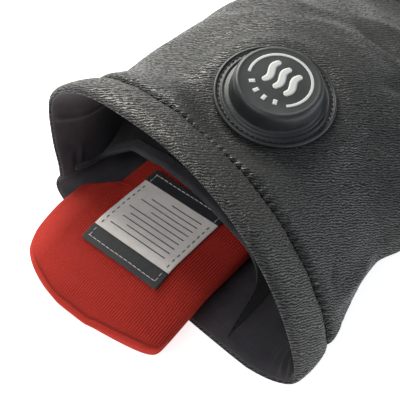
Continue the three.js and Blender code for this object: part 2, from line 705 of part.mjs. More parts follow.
function makePocket() {
  const alongs = stations(0, 1, 1 / 6);
  const sheet = (lift) => pocketTable.map((row) => alongs.map((along) => pocketPoint(row, along, lift)));
  return makeMesh("battery_pocket", meshOfSheet(sheet(pocketWall), sheet(0)), COLOURS.pocket);
}

// Rolled hem along the pocket's mouth, lying on the panel
function makePocketHem() {
  const alongs = [0, pocketHem / 2, pocketHem];
  const sheet = (lift) => pocketTable.map((row) => {
    const length = cuffLength - pocketFromSeam - row.deep * bandWidth;
    return alongs.map((along) => pocketPoint(row, along / length, pocketWall + clearance + lift));
  });
  return makeMesh("pocket_hem", meshOfSheet(sheet(pocketHemWall - pocketWall), sheet(0)), COLOURS.hem);
}

const pieces = [
  makeBand(),
  makeCuff(),
  makeHand(),
  ...fingerTable.map(makeFinger),
  makeThumb(),
  makeLining(),
  makePocket(),
  makePocketHem(),
  makeSleeve(),
  makeLabel(),
  makeButton(),
];

// The glove stands with its box centred on the origin and its underside on the floor
const glove = new THREE.Group();
glove.add(...pieces);
const box = new THREE.Box3().setFromObject(glove);
glove.position.set(-(box.min.x + box.max.x) / 2, -(box.min.y + box.max.y) / 2, -box.min.z);

export default glove;
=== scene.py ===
import math

import bmesh
import bpy
import numpy as np
from mathutils import Matrix, Vector, noise


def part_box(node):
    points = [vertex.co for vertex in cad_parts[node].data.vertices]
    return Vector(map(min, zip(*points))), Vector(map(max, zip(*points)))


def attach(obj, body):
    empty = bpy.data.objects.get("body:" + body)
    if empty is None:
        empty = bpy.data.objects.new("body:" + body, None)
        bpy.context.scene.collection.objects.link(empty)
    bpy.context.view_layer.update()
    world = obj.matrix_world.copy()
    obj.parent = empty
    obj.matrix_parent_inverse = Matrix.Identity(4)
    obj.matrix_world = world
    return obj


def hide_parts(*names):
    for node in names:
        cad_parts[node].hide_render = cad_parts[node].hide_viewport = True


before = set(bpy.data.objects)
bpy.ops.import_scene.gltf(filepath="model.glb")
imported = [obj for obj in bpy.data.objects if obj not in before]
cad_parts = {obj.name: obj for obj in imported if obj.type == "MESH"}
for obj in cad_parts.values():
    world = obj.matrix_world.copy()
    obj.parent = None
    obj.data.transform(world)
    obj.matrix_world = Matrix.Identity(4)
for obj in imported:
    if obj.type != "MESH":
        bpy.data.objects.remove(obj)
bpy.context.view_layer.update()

# Sizes in millimetres in the glove's own frame: x from the cuff's edge to the fingers, y away from the
# thumb, z up from the floor
MM = 0.001
BODY_LENGTH = 178
BODY_WIDTH = 120
MOUTH_HEIGHT = 65
MOUTH_LEAN = 18
SLANT_SIDE = 6.3
SLANT_TOP = 5
PALM_FLAT = 3
CUFF_LENGTH = 88
BAND = 18
WALL = 2.5
PUFF = 1
LINING_IN = 4.0
FINGER_LENGTH = 84
FINGER_THICK = 26.5
FINGER_GAP = 0.6
FINGER_LIFT = 2.5
THUMB_ROOT = 72
THUMB_SIDE = 36
THUMB_REACH = 92
THUMB_SPREAD = 62
THUMB_WIDE = 40
THUMB_THICK = 34
BUTTON_AT = (55.7, -4.8)
BUTTON_TILT = (8.5, 10)
BUTTON_RISE = 0.8
FLANGE_R = 22
SLEEVE_WIDE = 58
SLEEVE_LONG = 92
SLEEVE_THICK = 15
SLEEVE_OUT = 33
SLEEVE_SIDE = 6.5
SLEEVE_FLARE = 12.5
LABEL_LONG = 40
LABEL_WIDE = 34.5
LABEL_THICK = 0.6
LABEL_FROM_END = 20.5
LABEL_SIDE = 1.1
CLEAR = 0.3
STITCH = 2.9
RIB = 0.95
FURROW = 0.88
FINGER_SQUARE = 0.86
SLEEVE_SQUARE = 0.6
# Share of its thinning by which the sleeve's underside rises towards its ends
SLEEVE_RISE = 0.35
# Depth of the skin's hollow and length of the lining, from the cuff's edge
SKIN_HOLLOW = 104
LINING_LONG = 92
# Heights of the lines inside the cuff from which its folds and the lining's point outwards
CUFF_AXIS = 22
LINING_AXIS = 24
POCKET_END = CUFF_LENGTH - 2
SEAM_SIDES = 1100

# The frame's sleeve label gives the step from the glove's own frame to the row's frame
label_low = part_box("sleeve_label")[0]
ORIGIN = np.array([
    label_low[0] - (LABEL_FROM_END - SLEEVE_OUT) * MM,
    label_low[1] - (SLEEVE_SIDE + LABEL_SIDE - LABEL_WIDE / 2) * MM,
    0.0,
])

# Sections of the cuff and hand, the same shares as the solids have
BODY = {
    "at": [0.0, 0.1, 0.25, 0.35, 0.48, 0.63, 0.82, 1.0],
    "half": [0.5, 0.495, 0.511, 0.529, 0.546, 0.533, 0.49, 0.467],
    "side": [-0.024, -0.03, 0.006, -0.008, -0.025, -0.017, 0.008, 0.008],
    "top": [0.83, 0.8, 0.655, 0.64, 0.65, 0.6, 0.42, 0.25],
    "under": [0.17, 0.145, 0.185, 0.2, 0.23, 0.24, 0.225, 0.205],
    "lean": [1.0, 1.08, 0.58, 0.5, 0.38, 0.22, 0.1, 0.0],
    "square": [0.82, 0.88, 0.94, 0.95, 0.95, 0.94, 0.9, 0.82],
}
# Soft folds: at and wide are shares of the body's length, turn and spread degrees round the section,
# deep a share of the leather's wall
FOLDS = {
    "at": [0.0, 0.0, 0.0, 0.03, 0.315, 0.34, 0.62, 0.47, 0.56, 0.6, 0.69],
    "turn": [37, 342, 3, 184, 180, 40, 38, 150, 125, 70, 95],
    "spread": [14, 15, 6, 16, 32, 22, 25, 30, 34, 30, 40],
    "wide": [0.06, 0.03, 0.04, 0.12, 0.065, 0.08, 0.12, 0.03, 0.035, 0.035, 0.04],
    "deep": [-0.84, -1.1, 0.36, -0.5, 2.1, -0.56, -0.8, 0.7, 0.8, 0.7, 0.6],
    "slope": [0, 0, 0, 0, 0, 0, 0, 0.1, -0.08, 0.07, -0.04],
}
FINGERS = [
    dict(name="index", wide=0.237, thick=1.0, long=0.88, back=0.0, splay=-3.2),
    dict(name="middle", wide=0.237, thick=1.0, long=1.0, back=0.0, splay=-0.8),
    dict(name="ring", wide=0.23, thick=0.98, long=0.92, back=0.0, splay=1.8),
    dict(name="little", wide=0.214, thick=0.92, long=0.76, back=0.13, splay=5.4),
]
GIRTH = {
    "at": [-0.3, 0.0, 0.2, 0.36, 0.52, 0.67, 0.82, 0.92, 0.975, 1.0],
    "girth": [0.97, 1.0, 1.0, 0.965, 0.99, 0.95, 0.93, 0.8, 0.55, 0.22],
}
THUMB = {
    "at": [0.0, 0.16, 0.33, 0.5, 0.67, 0.81, 0.9, 0.96, 1.0],
    "along": [0.0, 0.22, 0.42, 0.6, 0.77, 0.89, 0.955, 0.985, 1.0],
    "out": [0.0, 0.13, 0.33, 0.54, 0.75, 0.89, 0.96, 0.99, 1.0],
    "wide": [0.8, 0.95, 0.92, 0.82, 0.75, 0.67, 0.53, 0.36, 0.16],
    "thick": [0.9, 1.0, 0.95, 0.87, 0.8, 0.73, 0.6, 0.42, 0.2],
}
SLEEVE = {
    "at": [0, 0.008, 0.023, 0.036, 0.05, 0.07, 0.09, 0.13, 0.2, 0.34, 0.48, 0.505, 0.53, 0.85, 0.95, 0.99, 1],
    "left": [0.4, 0.62, 0.77, 0.88, 0.98, 1, 1, 1, 1, 1, 1, 1, 1, 1, 0.97, 0.92, 0.86],
    "flare": [0, 0, 0, 0, 0, 0.22, 0.44, 0.68, 0.92, 1, 1.02, 0.75, 0, 0, 0, 0, 0],
    "right": [
        0.1, 0.2, 0.58, 0.81, 0.95, 1.01, 1.02, 1.02, 1.02, 1.02, 1.02, 1.02, 1.02, 1.02, 0.99, 0.94, 0.88,
    ],
    "thick": [0.12, 0.26, 0.4, 0.5, 0.56, 0.64, 0.7, 0.79, 0.9, 0.98, 1, 1, 1, 1, 0.9, 0.66, 0.4],
}
POCKET = {
    "at": [
        -0.6, -0.585, -0.57, -0.55, -0.52, -0.46, -0.38, -0.25, -0.1, 0.1,
        0.28, 0.45, 0.57, 0.67, 0.75, 0.815, 0.87, 0.92, 0.965, 1,
    ],
    "deep": [
        0.05, 0.3, 0.62, 0.98, 1.18, 1.32, 1.4, 1.46, 1.56, 1.69,
        1.73, 1.74, 1.68, 1.67, 1.66, 1.55, 1.43, 1.27, 1.05, 0.35,
    ],
    "rise": [
        0, 0.14, 0.28, 0.43, 0.58, 0.74, 0.9, 1, 1, 1,
        1, 1, 0.99, 0.94, 0.88, 0.78, 0.68, 0.6, 0.5, 0.38,
    ],
}


# Numbers and tables
def column(table, name, place):
    """Smooth value of one column at a place, with flat ends."""
    x = np.array(table["at"], float)
    y = np.array(table[name], float)
    step = np.diff(y) / np.diff(x)
    slope = np.zeros(len(x))
    before, after = step[:-1], step[1:]
    same = before * after > 0
    slope[1:-1][same] = 2 * before[same] * after[same] / (before[same] + after[same])
    p = np.clip(np.asarray(place, float), x[0], x[-1])
    i = np.clip(np.searchsorted(x, p, side="right") - 1, 0, len(x) - 2)
    width = x[i + 1] - x[i]
    u = (p - x[i]) / width
    start = y[i] * (1 + 2 * u) * (1 - u) ** 2 + slope[i] * width * u * (1 - u) ** 2
    return start + y[i + 1] * u * u * (3 - 2 * u) + slope[i + 1] * width * u * u * (u - 1)


def row_at(table, place):
    """Smooth value of every column at a place."""
    return {name: column(table, name, place) for name in table if name != "at"}


def power(value, exponent):
    return np.sign(value) * np.abs(value) ** exponent


def smooth(value, low, high):
    u = np.clip((value - low) / (high - low), 0, 1)
    return u * u * (3 - 2 * u)


def bell(value, middle, width):
    return np.exp(-(((value - middle) / width) ** 2))


def ripple(points, scale, seed):
    """Smooth noise from -1 to 1 at each point, scale in millimetres per swell."""
    offset = Vector((seed * 17.3, seed * 5.1, seed * 9.7))
    values = [noise.noise(Vector(p) / scale + offset) for p in points.reshape(-1, 3)]
    return np.reshape(values, points.shape[:-1])


def unit(vectors):
    return vectors / np.maximum(np.linalg.norm(vectors, axis=-1, keepdims=True), 1e-9)


def run_length(path):
    """Distance along a path at each of its points."""
    return np.concatenate([[0], np.cumsum(np.linalg.norm(np.diff(path, axis=0), axis=1))])


def even_turns(sides):
    return (np.arange(sides) + 0.5) * 2 * math.pi / sides


def outward(points, x, height=CUFF_AXIS):
    """Directions to the points from the line inside the cuff, at a place along it."""
    return unit(points - np.array([x, 0, height]))


# The body's surface
NORMAL = np.array([-math.sin(math.radians(BUTTON_TILT[0])), -math.sin(math.radians(BUTTON_TILT[1])), 0])
NORMAL[2] = math.sqrt(1 - NORMAL @ NORMAL)


def body_top(x, y):
    row = row_at(BODY, x / BODY_LENGTH)
    turn = math.pi / 2
    for _ in range(20):
        middle = row["side"] * BODY_WIDTH + row["lean"] * MOUTH_LEAN * math.sin(turn)
        turn = math.acos(float(power((y - middle) / (row["half"] * BODY_WIDTH), 1 / row["square"])))
    return MOUTH_HEIGHT * (row["under"] + row["top"] * math.sin(turn) ** row["square"])


SEAT = np.array([*BUTTON_AT, body_top(*BUTTON_AT) + PUFF + BUTTON_RISE])


def body_points(x, turn, inset):
    """Points of the cuff's and hand's section; inset is the depth below the seams' level."""
    x, turn, inset = np.broadcast_arrays(*(np.asarray(v, float) for v in (x, turn, inset)))
    row = row_at(BODY, x / BODY_LENGTH)
    c, s = np.cos(turn), np.sin(turn)
    side = row["side"] * BODY_WIDTH
    under = row["under"] * MOUTH_HEIGHT
    floor = np.maximum(inset, 0)
    lean = row["lean"] * MOUTH_LEAN * np.maximum(s, 0)
    y = side + (row["half"] * BODY_WIDTH - inset) * power(c, row["square"]) + lean
    above = (row["top"] * MOUTH_HEIGHT - inset) * power(s, row["square"])
    below = (under - floor + PALM_FLAT) * power(s, row["square"])
    z = np.maximum(floor, under + np.where(s > 0, above, below))
    fade = np.maximum(1 - 2 * x / BODY_LENGTH, 0)
    points = np.stack([x + (SLANT_SIDE * c + SLANT_TOP * s) * fade, y, z], -1)
    inward = unit(np.stack([points[..., 0], side, under], -1) - points)
    points = points + inward * fold_depth(x, turn)[..., None]
    points[..., 2] = np.maximum(points[..., 2], floor)
    return flatten(points, inset)


def fold_depth(x, turn):
    depth = 0
    for at, middle, spread, wide, deep, slope in zip(*FOLDS.values()):
        round_ = ((np.degrees(turn) - middle + 180) % 360 - 180) / spread
        along = (x / BODY_LENGTH - at - slope * round_) / wide
        depth = depth + deep * WALL * np.exp(-round_ ** 2 - along ** 2)
    return depth


def flatten(points, inset):
    """Lays the soft leather flat under the button's flange."""
    offset = points - SEAT
    height = offset @ NORMAL
    away = np.linalg.norm(offset - height[..., None] * NORMAL, axis=-1)
    share = (1 - smooth(away, FLANGE_R * 1.08, FLANGE_R * 1.7)) * (height > -MOUTH_HEIGHT / 2)
    return points + NORMAL * ((-(inset + PUFF) - height) * share)[..., None]


def seam_measure():
    """Distance round the band's seam against the turn, for stitches at an even pitch."""
    turn = np.linspace(0, 2 * math.pi, 4000)
    along = run_length(body_points(BAND, turn, 0))
    return turn, along, round(along[-1] / STITCH)


SEAM_TURN, SEAM_ALONG, SEAM_COUNT = seam_measure()


def seam_phase(turn):
    """Stitches counted round the band's seam, a whole number at each hole."""
    return np.interp(turn % (2 * math.pi), SEAM_TURN, SEAM_ALONG) / SEAM_ALONG[-1] * SEAM_COUNT


# Meshes
def make_object(name, points, faces, material):
    mesh = bpy.data.meshes.new(name)
    mesh.from_pydata((np.asarray(points) * MM + ORIGIN).tolist(), [], [list(f) for f in faces])
    mesh.update()
    obj = bpy.data.objects.new(name, mesh)
    bpy.context.scene.collection.objects.link(obj)
    mesh.polygons.foreach_set("use_smooth", [True] * len(mesh.polygons))
    mesh.materials.append(material)
    fix = bmesh.new()
    fix.from_mesh(mesh)
    bmesh.ops.recalc_face_normals(fix, faces=fix.faces)
    fix.to_mesh(mesh)
    fix.free()
    return obj


def ring_faces(rings, sides, loop=False):
    """Quads over rings of equal sides."""
    faces = []
    for r in range(rings if loop else rings - 1):
        a, b = r * sides, (r + 1) % rings * sides
        faces += [(a + i, a + (i + 1) % sides, b + (i + 1) % sides, b + i) for i in range(sides)]
    return faces


def tube(rings):
    """Closed tube: rings is an array of rings by sides by 3, with a fan at each end."""
    count, sides = rings.shape[:2]
    points = np.concatenate([rings.reshape(-1, 3), rings[0].mean(0)[None], rings[-1].mean(0)[None]])
    faces = ring_faces(count, sides)
    start, end = count * sides, count * sides + 1
    faces += [(start, (i + 1) % sides, i) for i in range(sides)]
    last = (count - 1) * sides
    faces += [(end, last + i, last + (i + 1) % sides) for i in range(sides)]
    return points, faces


def sheet(upper, lower):
    """Closed sheet between two grids of rows by columns by 3."""
    rows, columns = upper.shape[:2]
    points = np.concatenate([upper.reshape(-1, 3), lower.reshape(-1, 3)])
    under = rows * columns
    grid = np.arange(under).reshape(rows, columns)
    faces = []
    for a in grid[:-1, :-1].ravel().tolist():
        quad = (a, a + columns, a + columns + 1, a + 1)
        faces += [quad, tuple(under + v for v in reversed(quad))]
    ids = np.concatenate([grid[0, :-1], grid[:-1, -1], grid[-1, :0:-1], grid[:0:-1, 0]]).tolist()
    faces += [(a, b, under + b, under + a) for a, b in zip(ids, ids[1:] + ids[:1])]
    return points, faces


def join_parts(parts):
    points, faces, first = [], [], 0
    for p, f in parts:
        points.append(p)
        faces += [tuple(v + first for v in face) for face in f]
        first += len(p)
    return np.concatenate(points), faces


def ride(obj, slot, *nodes):
    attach(obj, "root")
    if nodes:
        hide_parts(*nodes)
    return obj


def resample(path, pitch):
    """Points a pitch apart along a path of points."""
    along = run_length(path)
    places = np.arange(pitch / 2, along[-1], pitch)
    return np.stack([np.interp(places, along, path[:, k]) for k in range(3)], -1)


# A thread's arch: place along it, thickness and rise
THREAD = [(-1, 0.35, -0.9), (-0.8, 0.85, -0.2), (-0.35, 1, 0.35)]
THREAD += [(-u, size, rise) for u, size, rise in reversed(THREAD)]


def stitch_row(name, path, material, slot, pitch, long, thick, twist=0.0, middles=None, up=(0, 0, 1)):
    """Short arched threads along a path; up is the surface's direction, one for all or one for each."""
    middles = resample(path, pitch) if middles is None else middles
    turn = np.arange(6) * math.pi / 3
    parts = []
    for m, lift in zip(middles, np.broadcast_to(unit(np.asarray(up, float)), middles.shape)):
        i = int(np.argmin(np.linalg.norm(path - m, axis=1)))
        ahead = path[min(i + 1, len(path) - 1)] - path[max(i - 1, 0)]
        ahead = unit(ahead - (ahead @ lift) * lift)
        ahead = ahead * math.cos(twist) + np.cross(lift, ahead) * math.sin(twist)
        aside = np.cross(lift, ahead)
        round_ = np.cos(turn)[:, None] * aside + np.sin(turn)[:, None] * lift
        rings = []
        for u, size, rise in THREAD:
            rings.append(m + ahead * (u * long / 2) + lift * (rise * thick) + size * thick * round_)
        parts.append(tube(np.array(rings)))
    ride(make_object(name, *join_parts(parts), material), slot)


# Materials
class Nodes:
    """Short way to add nodes to a material."""

    def __init__(self, name):
        self.material = bpy.data.materials.new(name)
        self.material.use_nodes = True
        self.tree = self.material.node_tree
        self.shader = self.tree.nodes["Principled BSDF"]

    def add(self, kind, **values):
        node = self.tree.nodes.new("ShaderNode" + kind)
        for key, value in values.items():
            if key[0] == "_":
                setattr(node, key[1:], value)
            else:
                node.inputs[key.replace("_", " ")].default_value = value
        return node

    def join(self, value, socket):
        """Gives a socket another node's output, a number or a colour."""
        if isinstance(value, tuple):
            socket.default_value = (*value, 1)
        elif isinstance(value, (int, float)):
            socket.default_value = value
        else:
            self.tree.links.new(value, socket)

    def place(self, scale=(1 / MM, 1 / MM, 1 / MM)):
        """Places on the object, in millimetres unless another scale is given."""
        mapping = self.add("Mapping", Scale=scale)
        self.join(self.add("TexCoord").outputs["Object"], mapping.inputs["Vector"])
        return mapping.outputs["Vector"]

    def noise(self, vector, scale, detail=2.0, rough=0.5):
        node = self.add("TexNoise", Scale=scale, Detail=detail, Roughness=rough)
        self.join(vector, node.inputs["Vector"])
        return node.outputs["Fac"]

    def dot(self, vector, direction):
        node = self.add("VectorMath", _operation="DOT_PRODUCT")
        self.join(vector, node.inputs[0])
        node.inputs[1].default_value = direction
        return node.outputs["Value"]

    def math(self, operation, a, b=0.5):
        node = self.add("Math", _operation=operation)
        self.join(a, node.inputs[0])
        self.join(b, node.inputs[1])
        return node.outputs[0]

    def plus(self, a, b):
        return self.math("ADD", a, b)

    def times(self, a, b):
        return self.math("MULTIPLY", a, b)

    def ramp(self, source, low, high, start=0.0, end=1.0):
        """Goes from start to end while the source goes from low to high."""
        node = self.add("MapRange", From_Min=low, From_Max=high, To_Min=start, To_Max=end)
        self.join(source, node.inputs["Value"])
        return node.outputs["Result"]

    def mix(self, fac, a, b):
        node = self.add("Mix", _data_type="RGBA")
        for index, value in ((0, fac), (6, a), (7, b)):
            self.join(value, node.inputs[index])
        return node.outputs[2]

    def bump(self, height, distance, strength=1.0):
        node = self.add("Bump", Strength=strength, Distance=distance)
        self.join(height, node.inputs["Height"])
        return node.outputs["Normal"]

    def finish(self, color, rough, normal=None, **constants):
        for name, value in (("Base Color", color), ("Roughness", rough), ("Normal", normal)):
            if value is not None:
                self.join(value, self.shader.inputs[name])
        for name, value in constants.items():
            self.shader.inputs[name.replace("_", " ")].default_value = value
        return self.material


# Three directions at right angles, fixed in the glove's frame. They are the right, forward and down axes of
# the photograph's viewpoint, copied as numbers, so the furrows lie level in that view. They don't follow the
# hide, so from other sides the furrows run at other slants.
GRAIN = [(0.629, -0.776, 0.052), (0.548, 0.395, -0.737), (-0.552, -0.492, -0.673)]


def leather_material(name, dark, light):
    """Soft grained leather: short wavy furrows, stacked along the last direction and broken up unevenly.

    Where the hide faces along that direction they would spread, so plain pebbles stand there.
    """
    n = Nodes(name)
    place = n.place()
    lengths = [n.dot(place, direction) for direction in GRAIN]

    def grain(scale, *shares):
        node = n.add("CombineXYZ")
        for socket, length, share in zip(node.inputs, lengths, shares):
            n.join(n.times(length, share), socket)
        return n.noise(node.outputs[0], scale, 1.0, 0.55)

    drift = n.times(grain(0.25, 0.8, 1.0, 1.0), 12.0)
    waver = n.times(grain(0.9, 0.6, 1.0, 0.8), 9.0)
    phase = n.plus(n.times(lengths[2], 2 * math.pi / FURROW), n.plus(drift, waver))
    stripe = n.ramp(n.math("SINE", phase), -0.5, 0.5)
    facing = n.dot(n.add("TexCoord").outputs["Normal"], GRAIN[2])
    level = n.ramp(n.math("ABSOLUTE", facing), 0.84, 0.94)
    pebble = n.ramp(n.noise(place, 1.15, 1.5), 0.42, 0.58)
    stripe = n.plus(stripe, n.times(n.math("SUBTRACT", pebble, stripe), level))
    streak = n.ramp(grain(1.1, 0.8, 1.1, 1.2), 0.42, 0.58)
    raised = n.plus(n.times(stripe, 0.75), n.times(streak, 0.25))
    height = n.plus(raised, n.times(n.noise(place, 3.4, 2.0, 0.6), 0.2))
    patch = n.noise(n.place((26, 26, 26)), 1.0, 3.0, 0.55)
    # Partly the grain's own tone and partly painted shade: the furrows are coloured near black where shade
    # falls in them, the ridges lighter.
    grain_tone_and_shade = n.times(n.math("POWER", raised, 1.6), n.ramp(patch, 0.3, 0.7, 0.65))
    rough = n.ramp(raised, 0.1, 0.85, 0.85, 0.36)
    return n.finish(n.mix(grain_tone_and_shade, dark, light), rough, n.bump(height, 0.0002), Specular_IOR_Level=0.45)


def cloth_material(name, dark, light, pitch, depth=0.00005, rough=0.6):
    """Plain woven cloth: crossed threads at a pitch in millimetres."""
    n = Nodes(name)
    place = n.place()
    split = n.add("SeparateXYZ")
    n.join(place, split.inputs[0])
    waves = [n.math("SINE", n.times(axis, 2 * math.pi / pitch)) for axis in split.outputs]
    weave = n.plus(n.times(waves[0], waves[1]), n.times(waves[2], 0.5))
    uneven = n.noise(place, 0.12, 4.0, 0.6)
    height = n.plus(n.times(weave, 0.35), uneven)
    color = n.mix(n.ramp(uneven, 0.3, 0.7), dark, light)
    return n.finish(color, rough, n.bump(height, depth), Sheen_Weight=0.15, Sheen_Roughness=0.5)


def rib_material():
    """Red ribbed jersey: the ribs are in the mesh, which tells how deep each point lies between them, for
    painted shade in the grooves.
    """
    n = Nodes("sleeve_ribbed")
    fibre = n.noise(n.place((1500, 3400, 3400)), 1.0, 2.0, 0.6)
    patch = n.noise(n.place(), 0.05, 3.0, 0.6)
    groove_shade = n.add("Attribute", _attribute_name="groove_shade").outputs["Fac"]
    color = n.mix(n.ramp(fibre, 0.35, 0.65), (0.37, 0.022, 0.014), (0.55, 0.037, 0.023))
    color = n.mix(n.ramp(patch, 0.35, 0.75, 0.0, 0.4), color, (0.36, 0.023, 0.015))
    # Painted shade: the grooves between the ribs and the dent at the sleeve's hem are darkened towards near
    # black.
    color = n.mix(n.times(groove_shade, 0.9), color, (0.05, 0.003, 0.002))
    height = n.plus(n.times(fibre, 0.6), n.times(patch, 0.4))
    return n.finish(color, 0.82, n.bump(height, 0.00008, 0.7), Specular_IOR_Level=0.2)


def satin_material(name, dark, light):
    """Woven satin tape."""
    n = Nodes(name)
    thread = n.noise(n.place((700, 5200, 1000)), 1.0)
    patch = n.noise(n.place(), 0.15, 3.0, 0.6)
    uneven = n.plus(n.times(thread, 0.5), n.times(patch, 0.5))
    color = n.mix(n.ramp(uneven, 0.35, 0.65), dark, light)
    return n.finish(color, 0.6, n.bump(thread, 0.00004), Sheen_Weight=0.1)


def silicone_material():
    n = Nodes("button_silicone")
    place = n.place()
    fine = n.noise(place, 9.0, 2.0, 0.6)
    patch = n.noise(place, 0.1, 3.0, 0.6)
    color = n.mix(n.ramp(patch, 0.35, 0.7), (0.020, 0.023, 0.024), (0.030, 0.033, 0.034))
    rough = n.ramp(patch, 0.3, 0.7, 0.40, 0.48)
    return n.finish(color, rough, n.bump(fine, 0.00002, 0.5), Specular_IOR_Level=0.5)


def plain_material(name, color, rough, grain, depth=0.00002):
    n = Nodes(name)
    fine = n.noise(n.place(), grain, 2.0, 0.6)
    dim = tuple(c * 0.82 for c in color)
    return n.finish(n.mix(n.ramp(fine, 0.35, 0.65), dim, color), rough, n.bump(fine, depth))


def make_materials():
    return {
        "leather": leather_material("leather", (0.002, 0.002, 0.0022), (0.070, 0.071, 0.068)),
        # Painted light: the band's leather is a lighter, warmer copy of the body's leather, for the light
        # that falls on the band's top.
        "band": leather_material("band_leather", (0.002, 0.002, 0.002), (0.086, 0.084, 0.077)),
        "lining": cloth_material("lining_cloth", (0.030, 0.026, 0.032), (0.058, 0.052, 0.060), 0.3),
        "pocket": cloth_material("pocket_cloth", (0.006, 0.006, 0.008), (0.016, 0.016, 0.018), 0.4),
        "hem": cloth_material("hem_cloth", (0.016, 0.016, 0.018), (0.040, 0.040, 0.043), 0.6, 0.00008, 0.75),
        "thread": plain_material("black_thread", (0.010, 0.010, 0.011), 0.5, 6.0),
        "sleeve": rib_material(),
        "label": satin_material("label_satin", (0.74, 0.68, 0.63), (0.88, 0.82, 0.77)),
        "label_dark": satin_material("label_dark_band", (0.014, 0.014, 0.016), (0.030, 0.030, 0.034)),
        "label_white": plain_material("white_thread", (0.66, 0.64, 0.60), 0.6, 6.0),
        "label_grey": plain_material("grey_thread", (0.11, 0.105, 0.10), 0.7, 6.0),
        "silicone": silicone_material(),
        "mark": plain_material("mark_print", (0.56, 0.58, 0.56), 0.5, 5.0, 0.00001),
    }


# The leather: cuff, hand, fingers and thumb in one skin
def leather_inset(x):
    """Depth of the skin: it starts under the gathered strip and swells behind it."""
    return np.interp(x, [20, 22, 23.5, 25, 27], [0.6, 0.1, -0.55, -0.95, -1.0])


def oval_ring(middle, aside, wide, thick, sides):
    turn = even_turns(sides)
    ring = middle + aside * (wide * power(np.cos(turn), FINGER_SQUARE))[:, None]
    ring[:, 2] = np.maximum(middle[2] + thick * power(np.sin(turn), FINGER_SQUARE), 0)
    return ring


def finger_side(finger):
    widths = [f["wide"] * BODY_WIDTH + FINGER_GAP for f in FINGERS]
    index = FINGERS.index(finger)
    return BODY["side"][-1] * BODY_WIDTH - sum(widths) / 2 + sum(widths[:index]) + widths[index] / 2


def finger_frame(finger):
    splay = math.radians(finger["splay"])
    ahead = np.array([math.cos(splay), math.sin(splay), 0])
    root = np.array([BODY_LENGTH - finger["back"] * FINGER_LENGTH, finger_side(finger), 0])
    return root, ahead, np.array([-ahead[1], ahead[0], 0]), finger["long"] * FINGER_LENGTH


def finger_section(finger, at):
    root, ahead, aside, length = finger_frame(finger)
    girth = float(column(GIRTH, "girth", at))
    middle = root + ahead * (at * length)
    arch = 4 * max(at, 0) * (1 - at)
    middle[2] = finger["thick"] * FINGER_THICK * max(girth, 0.8) / 2 + FINGER_LIFT * arch
    return middle, aside, finger["wide"] * BODY_WIDTH * girth / 2, finger["thick"] * FINGER_THICK * girth / 2


def thumb_place(at):
    row = row_at(THUMB, at)
    return np.array([THUMB_ROOT + row["along"] * THUMB_REACH, -THUMB_SIDE - row["out"] * THUMB_SPREAD, 0])


def thumb_section(at):
    ahead = thumb_place(min(at + 0.02, 1)) - thumb_place(max(at - 0.02, 0))
    ahead = unit(ahead)
    row = row_at(THUMB, at)
    wide, thick = row["wide"] * THUMB_WIDE / 2, row["thick"] * THUMB_THICK / 2
    middle = thumb_place(at)
    middle[2] = THUMB_THICK * max(thick * 2 / THUMB_THICK, 0.64) / 2
    return middle, np.array([-ahead[1], ahead[0], 0]), wide, thick


def station_of(points):
    """Place along the body of points on its surface, the inverse of the slanted sections."""
    x = points[:, 0].copy()
    for _ in range(6):
        row = row_at(BODY, x / BODY_LENGTH)
        s = np.clip((points[:, 2] / MOUTH_HEIGHT - row["under"]) / row["top"], -0.2, 1)
        y = points[:, 1] - row["side"] * BODY_WIDTH - row["lean"] * MOUTH_LEAN * np.maximum(s, 0)
        c = np.clip(y / (row["half"] * BODY_WIDTH), -1, 1)
        slant = SLANT_SIDE * c + SLANT_TOP * s
        x = (points[:, 0] - slant) / (1 - 2 * slant / BODY_LENGTH)
        x = np.where(points[:, 0] > BODY_LENGTH / 2, points[:, 0], x)
    return x


def skin_start():
    """Cup of the body with its inner side, and the fingers and thumb, run together by a voxel remesh."""
    turn = even_turns(120)
    inner = [body_points(x, turn, 2.3) for x in np.linspace(SKIN_HOLLOW, 21, 28)]
    outer = [body_points(x, turn, leather_inset(x)) for x in np.linspace(20.5, 30, 14)]
    outer += [body_points(x, turn, -1.0) for x in np.linspace(32, BODY_LENGTH + 3, 60)]
    parts = [tube(np.array(inner + outer))]
    for finger in FINGERS:
        places = np.concatenate([np.linspace(-0.3, 0.85, 30), np.linspace(0.87, 1, 12)])
        parts.append(tube(np.array([oval_ring(*finger_section(finger, at), 36) for at in places])))
    places = np.concatenate([np.linspace(0.12, 0.85, 30), np.linspace(0.87, 1, 12)])
    parts.append(tube(np.array([oval_ring(*thumb_section(at), 40) for at in places])))
    return join_parts(parts)


def apply_modifier(obj, kind, **values):
    modifier = obj.modifiers.new(kind.lower(), kind)
    for key, value in values.items():
        setattr(modifier, key, value)
    bpy.context.view_layer.objects.active = obj
    with bpy.context.temp_override(object=obj, active_object=obj, selected_objects=[obj]):
        bpy.ops.object.modifier_apply(modifier=modifier.name)


def read_vectors(items, name):
    data = np.empty(len(items) * 3)
    items.foreach_get(name, data)
    return data.reshape(-1, 3)


def get_points(obj):
    return (read_vectors(obj.data.vertices, "co") - ORIGIN) / MM


def set_points(obj, points):
    obj.data.vertices.foreach_set("co", (points * MM + ORIGIN).ravel())
    obj.data.update()


def soften(obj, rounds, weight):
    """Averages each point with its neighbours; weight is a share for each point."""
    edges = np.empty(len(obj.data.edges) * 2, int)
    obj.data.edges.foreach_get("vertices", edges)
    a, b = edges.reshape(-1, 2).T
    points = get_points(obj)
    count = np.bincount(a, minlength=len(points)) + np.bincount(b, minlength=len(points))
    for _ in range(rounds):
        total = np.zeros_like(points)
        np.add.at(total, a, points[b])
        np.add.at(total, b, points[a])
        points += (total / count[:, None] - points) * weight[:, None]
    set_points(obj, points)


